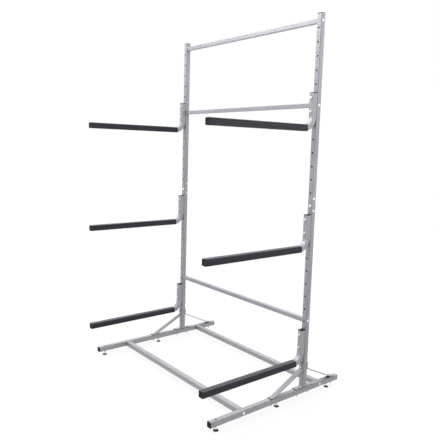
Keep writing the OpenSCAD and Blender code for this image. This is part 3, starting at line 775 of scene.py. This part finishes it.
def push_in_cap(dished):
    """A square flange with a rolled edge over a hollow ribbed plug.

    The rows run from the middle of the face outwards, over the edge, down the ribs, round the
    plug's rim and up inside it. A dished face has a rim round a sunk floor.
    """
    half = FACE
    roll = 1.4 * MM
    crown = 0.0 if dished else 0.35 * MM
    if dished:
        rim, sunk = 5 * MM, 1.5 * MM
        floor = CAP_T - sunk
        face = [
            (1.2 * MM, 0.6 * MM, floor - 0.25 * MM), (1.7 * MM, 0.9 * MM, floor - 0.2 * MM),
            (2.0 * MM, 1.0 * MM, floor),
            (half - rim - 1.1 * MM, 1.4 * MM, floor), (half - rim - 0.5 * MM, 1.6 * MM, floor + 0.2 * MM),
            (half - rim - 0.1 * MM, 1.9 * MM, CAP_T - 0.3 * MM), (half - rim + 0.4 * MM, 2.2 * MM, CAP_T)
        ]
    else:
        face = [
            (1.2 * MM, 0.6 * MM, CAP_T - 0.3 * MM), (1.7 * MM, 0.9 * MM, CAP_T - 0.2 * MM),
            (2.0 * MM, 1.0 * MM, CAP_T),
            (half * 0.5, 1.6 * MM, CAP_T - crown * 0.3), (half - roll - 0.6 * MM, 2.0 * MM, CAP_T - crown)
        ]
    edge = [(h, CORNER, z) for h, z in quarter((half - roll, CAP_T - roll - crown), roll, 90, 0, 6)]
    flange = edge + [(half, CORNER, 0.25 * MM), (half - 0.25 * MM, CORNER - 0.2 * MM, 0.0)]
    tight = half - WALL - 0.15 * MM
    plug = tight - 1.2 * MM
    ribs = []
    for step in (1, 2, 3):
        z = -step * PLUG_L / 4
        ribs += [
            (plug, 1.2 * MM, z + 1.2 * MM), (tight, 1.0 * MM, z + 0.9 * MM), (tight, 1.0 * MM, z + 0.3 * MM),
            (plug, 1.2 * MM, z)
        ]
    inner = plug - 1.8 * MM
    skirt = [
        (plug, 1.2 * MM, 0.0), *ribs, (plug, 1.2 * MM, -PLUG_L + 0.5 * MM), (plug - 0.5 * MM, 1.0 * MM, -PLUG_L),
        (inner, 0.8 * MM, -PLUG_L), (inner, 0.8 * MM, 0.0)
    ]
    return shell(square_rings(face + flange + skirt))


def fit_caps():
    dished = push_in_cap(True)
    plain = push_in_cap(False)
    ends, tops, heels, noses = [], [], [], []
    for x in SIDES.values():
        ends.append(placed(dished, (x, BASE_FRONT + CAP_T, BASE_MID), (0, -1, 0)))
        ends.append(placed(dished, (x, BASE_REAR - CAP_T, BASE_MID), (0, 1, 0)))
        tops.append(placed(plain, (x, SET_BACK, COLUMN_TOP), (0, 0, 1)))
        for bolt_z in ARM_LOW_BOLTS.values():
            heels.append(placed(plain, (x, LEG_Y, bolt_z + PITCH + ARM_LEG_OVER), (0, 0, 1)))
            noses.append(placed(dished, (x, ARM_FRONT + CAP_T, bolt_z - ARM_DROP), (0, -1, 0)))
    make_piece("base_dished_caps", ends, "cap_plastic", instead_of=["base_end_caps"])
    make_piece("upright_crowned_caps", tops, "cap_plastic", instead_of=["upright_caps"])
    make_piece("arm_crowned_caps", heels, "cap_plastic", instead_of=["arm_heel_caps"])
    make_piece("arm_dished_plugs", noses, "cap_plastic", instead_of=["arm_end_plugs"])


# ---------------------------------------------------------------- foam sleeves


def sleeve_line(reach):
    """The sleeve's centre line, by distance from its front end: straight back, then up the first
    part of the arm's bend. Gives each place, and the way that is upwards across the sleeve."""
    straight = BEND_Y - ARM_FRONT
    turn = np.clip((reach - straight) / BEND_R, 0, None)
    y = ARM_FRONT + np.minimum(reach, straight) + BEND_R * np.sin(turn)
    z = BEND_R * (1 - np.cos(turn))
    return y, z, -np.sin(turn), np.cos(turn)


def foam_sleeve(x, axis_z, seed):
    """A soft square tube carried along the arm.

    A point is the centre line plus the square walk times the half width. The outside bulges a
    little in the middle of each side, and two slow waves along it and round it make it uneven.
    Both ends are rolled over with a quarter circle.
    """
    base, out, middle = side_walk(7, 8)
    length = BEND_Y - ARM_FRONT + BEND_R * FOAM_TURN
    lip = 1.25 * MM
    swing = np.linspace(0, math.pi / 2, 6)
    front = np.stack([lip - lip * np.sin(swing), FOAM_OUT - lip + lip * np.cos(swing)], axis=1)[::-1]
    run = np.stack([np.linspace(lip, length - lip, 110)[1:-1], np.full(108, FOAM_OUT)], axis=1)
    rear = np.stack([length - lip + lip * np.sin(swing), FOAM_OUT - lip + lip * np.cos(swing)], axis=1)
    bore = np.stack([np.linspace(length, 0.0, 40), np.full(40, FOAM_IN)], axis=1)
    profile = np.concatenate([front, run, rear, bore])
    outside = np.arange(len(profile)) < len(profile) - len(bore)
    reach, half = profile[:, :1], profile[:, 1:]
    radius = np.where(outside[:, None], *FOAM_CORNERS)
    ends = np.clip(np.minimum(reach, length - reach) / (12 * MM), 0, 1)
    shifts = np.random.default_rng(seed).uniform(0, 2 * math.pi, len(FOAM_WAVES))
    angle = np.arctan2(base[:, 1], base[:, 0])
    wave = sum(
        height * np.sin(reach * quickness + angle * times_round + shift)
        for (height, quickness, times_round), shift in zip(FOAM_WAVES, shifts)
    )
    proud = np.where(outside[:, None], ends * (FOAM_CROWN * middle + wave), 0.0)
    across = (half - radius)[..., None] * base + (radius + proud)[..., None] * out
    y, z, up_y, up_z = sleeve_line(reach)
    rings = np.dstack([x + across[..., 0], y + up_y * across[..., 1], axis_z + z + up_z * across[..., 1]])
    return shell(rings, looped=True)


def fit_sleeves():
    for number, (level, bolt_z) in enumerate(ARM_LOW_BOLTS.items()):
        for side, x in SIDES.items():
            skin = foam_sleeve(x, bolt_z - ARM_DROP, seed=10 * number + (x > 0))
            sleeve = make_piece(f"foam_sleeve_{level}_{side}", [skin], "foam", instead_of=[f"sleeve_{level}_{side}"])


# ---------------------------------------------------------------- levelling feet


def rubber_pad():
    """A turned pad: rolled edges, a fine groove round its side and a shoulder up to the hexagon."""
    profile = [(1.0 * MM, 0.0), (PAD_R - 1.6 * MM, 0.0)]
    profile += quarter((PAD_R - 1.5 * MM, 1.5 * MM), 1.5 * MM, -80, 0, 7)
    profile += [(PAD_R, 1.9 * MM), (PAD_R - 0.25 * MM, 2.1 * MM), (PAD_R - 0.25 * MM, 2.3 * MM), (PAD_R, 2.5 * MM)]
    profile += quarter((PAD_R - 0.9 * MM, 2.5 * MM), 0.9 * MM, 8, 74, 6)
    profile += [(9.4 * MM, 4.75 * MM)] + quarter((8.6 * MM, 4.3 * MM), 0.7 * MM, 60, 90, 3)
    profile += [(BORE_R, PAD_H), (BORE_R, PAD_H - STEM_SEAT), (1.0 * MM, PAD_H - STEM_SEAT)]
    return shell(round_rings(profile, 64))


def threaded_stud():
    """The stem from the pad up into the tube, threaded above its hexagon."""
    height, limit = hexagon_rows(PAD_H, PAD_H + FOOT_HEX_H)
    seat = PAD_H - STEM_SEAT
    cone = 0.8 * MM
    low = round_rings([(1.0 * MM, seat), (BOLT_R, seat), (BOLT_R, PAD_H)])
    thread = thread_rings(PAD_H + FOOT_HEX_H, STEM_TOP - cone)
    tip = round_rings([(BOLT_R - cone, STEM_TOP)])
    return shell(np.concatenate([low, hexagon_rings(limit, height), thread, tip]))


def threaded_insert():
    """A flange under the tube and a sleeve up into it, with a countersunk bore."""
    barrel, flange, thick, tall = 6.5 * MM, 9 * MM, 1.5 * MM, 13 * MM
    profile = [(barrel, tall), (barrel, 0.0), (flange - 0.2 * MM, 0.0), (flange, -0.3 * MM)]
    profile += [(flange, -thick + 0.4 * MM), (flange - 0.4 * MM, -thick), (BORE_R + 0.5 * MM, -thick)]
    profile += [(BORE_R, -thick + 0.5 * MM), (BORE_R, tall)]
    return shell(round_rings(profile), looped=True)


def fit_feet():
    pad, stud, insert = rubber_pad(), threaded_stud(), threaded_insert()
    inserts = []
    for side, x in SIDES.items():
        for row, y in FEET.items():
            body = f"foot_{row}_{side}"
            for label, skin, slot, node in (
                ("rubber_pad", pad, "pad_rubber", f"foot_pad_{row}_{side}"),
                ("threaded_stud", stud, "zinc", f"foot_stud_{row}_{side}"),
            ):
                skins = [placed(skin, (x, y, 0.0), (0, 0, 1))]
                make_piece(f"{label}_{row}_{side}", skins, slot, body=body, instead_of=[node])
            inserts.append(placed(insert, (x, y, BASE_LOW), (0, 0, 1)))
    make_piece("threaded_inserts", inserts, "inner_steel", instead_of=["foot_inserts"])


# ---------------------------------------------------------------- welds and hole rims


def weld_ripples(x, y_face, out):
    """A bead laid in the corner between a plate and a tube face.

    Its section is a swollen quarter from the plate to the face. Along the bead the swelling rises
    and falls once for each laid ripple, and it tapers off at both ends.
    """
    half = FACE - CORNER
    count = 66
    reach = np.linspace(-half, half, count)[:, None]
    ripple = np.abs(np.sin(reach / (1.7 * MM) * math.pi / 2)) ** 0.6
    taper = np.clip((half - np.abs(reach)) / (2.2 * MM), 0.12, 1) ** 0.5
    sweep = np.linspace(0, math.pi / 2, 9)
    leg = (WELD + 0.25 * MM + 0.35 * MM * ripple) * taper
    bulge = leg * (0.80 + 0.20 * np.abs(np.cos(2 * sweep)))
    root = np.zeros((count, 1))
    along_y = np.concatenate([root, bulge * np.cos(sweep)], axis=1)
    along_z = np.concatenate([root, bulge * np.sin(sweep)], axis=1)
    return shell(np.dstack([x + reach + 0 * along_y, y_face + out * along_y, BASE_TOP + PLATE_T + along_z]))


def hole_rim(hole_r):
    """A low rounded burr of uncoated steel round a drilled hole; its dark finish is also painted shade at the hole's
    edge.
    """
    width, proud = 0.8 * MM, 0.16 * MM
    angle = np.linspace(0, math.pi, 6)
    radius = hole_r + width / 2 - width / 2 * np.cos(angle)
    height = proud * np.sin(angle)
    profile = np.stack([radius, height], axis=1).tolist()
    profile += [(hole_r + width, -0.3 * MM), (hole_r, -0.3 * MM)]
    return shell(round_rings(profile, 28), looped=True)


def fit_weld_and_rims():
    beads = []
    for x in SIDES.values():
        for out in (-1, 1):
            beads.append(weld_ripples(x, SET_BACK + out * FACE, out))
    make_piece("foot_weld_ripples", beads, "upright_paint", crease=50.0)
    rim = hole_rim(HOLE_R)
    taken = {round(z + rise, 6) for z in ARM_LOW_BOLTS.values() for rise in (0, PITCH)} | {round(SEAM_HOLE, 6)}
    rims = []
    for number in range(HOLES):
        z = FIRST_HOLE + number * PITCH
        if round(z, 6) in taken:
            continue
        for x in SIDES.values():
            for out in (-1, 1):
                rims.append(placed(rim, (x, SET_BACK + out * FACE, z), (0, out, 0)))
    # dark rims round the holes: partly a burr, partly painted shade
    make_piece("upright_hole_rims", rims, "inner_steel", crease=60.0)
    above_feet = [(x, y, BASE_TOP) for x in SIDES.values() for y in FEET.values()]
    make_piece("access_hole_rims", along(hole_rim(ACCESS_R), above_feet, (0, 0, 1)), "inner_steel", crease=60.0)


# ---------------------------------------------------------------- studio
WORLD_LIGHT = 0.34                    # on a white surface, as the lamps' light below
LAMP_LIGHT = 0.8
LAMP_HEIGHT = 5.2
SHADOW_DEPTH = 0.12                   # share of the light on the floor that the camera sees
FLOOR_WHITE = 1.015                   # what the camera sees of an unshadowed floor
FLOOR_TONE = (0.42, 0.42, 0.43)       # what lights the object from below
FLOOR_HALF = 30.0
BRIGHT_SPOT = (-0.3, -0.8, 0.0)       # where the lamps light the floor most
SOFTBOXES = (                         # name, place, what it points at, size and power in watts
    ("overhead", (0.0, -0.4, LAMP_HEIGHT), (0.0, -0.4, 0.0), (5.0, 5.0), 195.0),
    ("high_front", (-1.3, -1.2, 3.2), (-0.7, 0.2, 1.9), (1.6, 1.2), 27.0),
    ("right_strip", (1.6, 0.3, 1.4), (0.635, 0.2, 2.0), (0.5, 0.6), 2.7),
    ("left_key", (-2.6, -3.4, 3.4), (0.0, 0.2, 1.8), (2.0, 2.0), 19.0),
    ("rear_fill", (3.2, 3.2, 3.2), (0.0, 0.2, 1.9), (2.0, 2.0), 19.0),
    ("camera_fill", (3.2, -2.7, 1.9), (0.0, 0.2, 1.0), (1.6, 1.6), 14.0),
)


def sees_backdrop(sketch):
    """1 for the rays that show the surroundings: from the camera, or by way of metal or glass."""
    path = sketch.add("ShaderNodeLightPath").outputs
    mirrored = sketch.math("MAXIMUM", path["Is Glossy Ray"], path["Is Transmission Ray"])
    return sketch.math("MAXIMUM", path["Is Camera Ray"], mirrored)


def studio_world(strength):
    """Even soft light; the camera and mirror-like surfaces see plain white instead."""
    world = bpy.data.worlds.new("studio")
    scene.world = world
    world.use_nodes = True
    sketch = Sketch(world.node_tree)
    lit = sketch.add("ShaderNodeBackground", {"Strength": strength, "Color": (0.98, 0.98, 1.0)})
    shown = sketch.add("ShaderNodeBackground", {"Strength": 1.0, "Color": (1.0, 1.0, 1.0)})
    mix = sketch.add("ShaderNodeMixShader", {0: sees_backdrop(sketch), 1: lit.outputs[0], 2: shown.outputs[0]})
    sketch.add("ShaderNodeOutputWorld", {"Surface": mix.outputs[0]})


def softbox(name, place, target, size, power):
    data = bpy.data.lights.new(name, "AREA")
    data.shape = "RECTANGLE"
    data.size, data.size_y = size
    data.energy = power
    lamp = bpy.data.objects.new(name, data)
    aim = Vector(target) - Vector(place)
    lamp.matrix_world = Matrix.Translation(place) @ aim.to_track_quat("-Z", "Y").to_matrix().to_4x4()
    scene.collection.objects.link(lamp)


def studio_floor():
    """A pale floor. The camera sees it lifted to white, less the object's soft shadow.

    The lamps' light on the floor falls off round BRIGHT_SPOT as the square of
    1 / (1 + (distance / LAMP_HEIGHT) ** 2), on top of the world's own. The lift makes up for it.
    """
    mesh = bpy.data.meshes.new("studio_floor")
    corners = [(FLOOR_HALF * x, FLOOR_HALF * y, 0.0) for x, y in ((-1, -1), (1, -1), (1, 1), (-1, 1))]
    mesh.from_pydata(corners, [], [(0, 1, 2, 3)])
    floor = bpy.data.objects.new("studio_floor", mesh)
    scene.collection.objects.link(floor)
    material = bpy.data.materials.new("pale_floor")
    material.use_nodes = True
    sketch = Sketch(material.node_tree)
    plain = sketch.add("ShaderNodeBsdfDiffuse", {"Color": FLOOR_TONE})
    faint = sketch.add("ShaderNodeBsdfDiffuse", {"Color": (SHADOW_DEPTH,) * 3})
    ends = {0: sketch.place(), 1: BRIGHT_SPOT}
    away = sketch.add("ShaderNodeVectorMath", ends, operation="DISTANCE").outputs["Value"]
    spread = sketch.math("ADD", sketch.math("POWER", sketch.math("DIVIDE", away, LAMP_HEIGHT), 2.0), 1.0)
    lamp_light = sketch.math("DIVIDE", LAMP_LIGHT, sketch.math("MULTIPLY", spread, spread))
    light = sketch.math("ADD", lamp_light, WORLD_LIGHT)
    missing = sketch.math("SUBTRACT", FLOOR_WHITE, sketch.math("MULTIPLY", light, SHADOW_DEPTH))
    lift = sketch.add("ShaderNodeEmission", {"Color": (1.0, 1.0, 1.0), "Strength": missing})
    seen = sketch.add("ShaderNodeAddShader", {0: faint.outputs[0], 1: lift.outputs[0]})
    mix = sketch.add("ShaderNodeMixShader", {0: sees_backdrop(sketch), 1: plain.outputs[0], 2: seen.outputs[0]})
    sketch.add("ShaderNodeOutputMaterial", {"Surface": mix.outputs[0]})
    mesh.materials.append(material)


# ---------------------------------------------------------------- putting it together


def finish_solids():
    """Each solid takes the finish that the record names for it."""
    for part in frame["record"]["subparts"]:
        solid = frame["nodes"][part["node"]]
        solid.data.materials.clear()
        solid.data.materials.append(finishes[part["material_slot"]])


place_camera()
scene.view_settings.view_transform = "Standard"
studio_world(WORLD_LIGHT)
for lamp in SOFTBOXES:
    softbox(*lamp)
studio_floor()
fit_arm_fasteners()
fit_splice_fasteners()
fit_cross_bolts()
fit_brace_and_plate_fasteners()
fit_caps()
fit_sleeves()
fit_feet()
fit_weld_and_rims()
finish_solids()
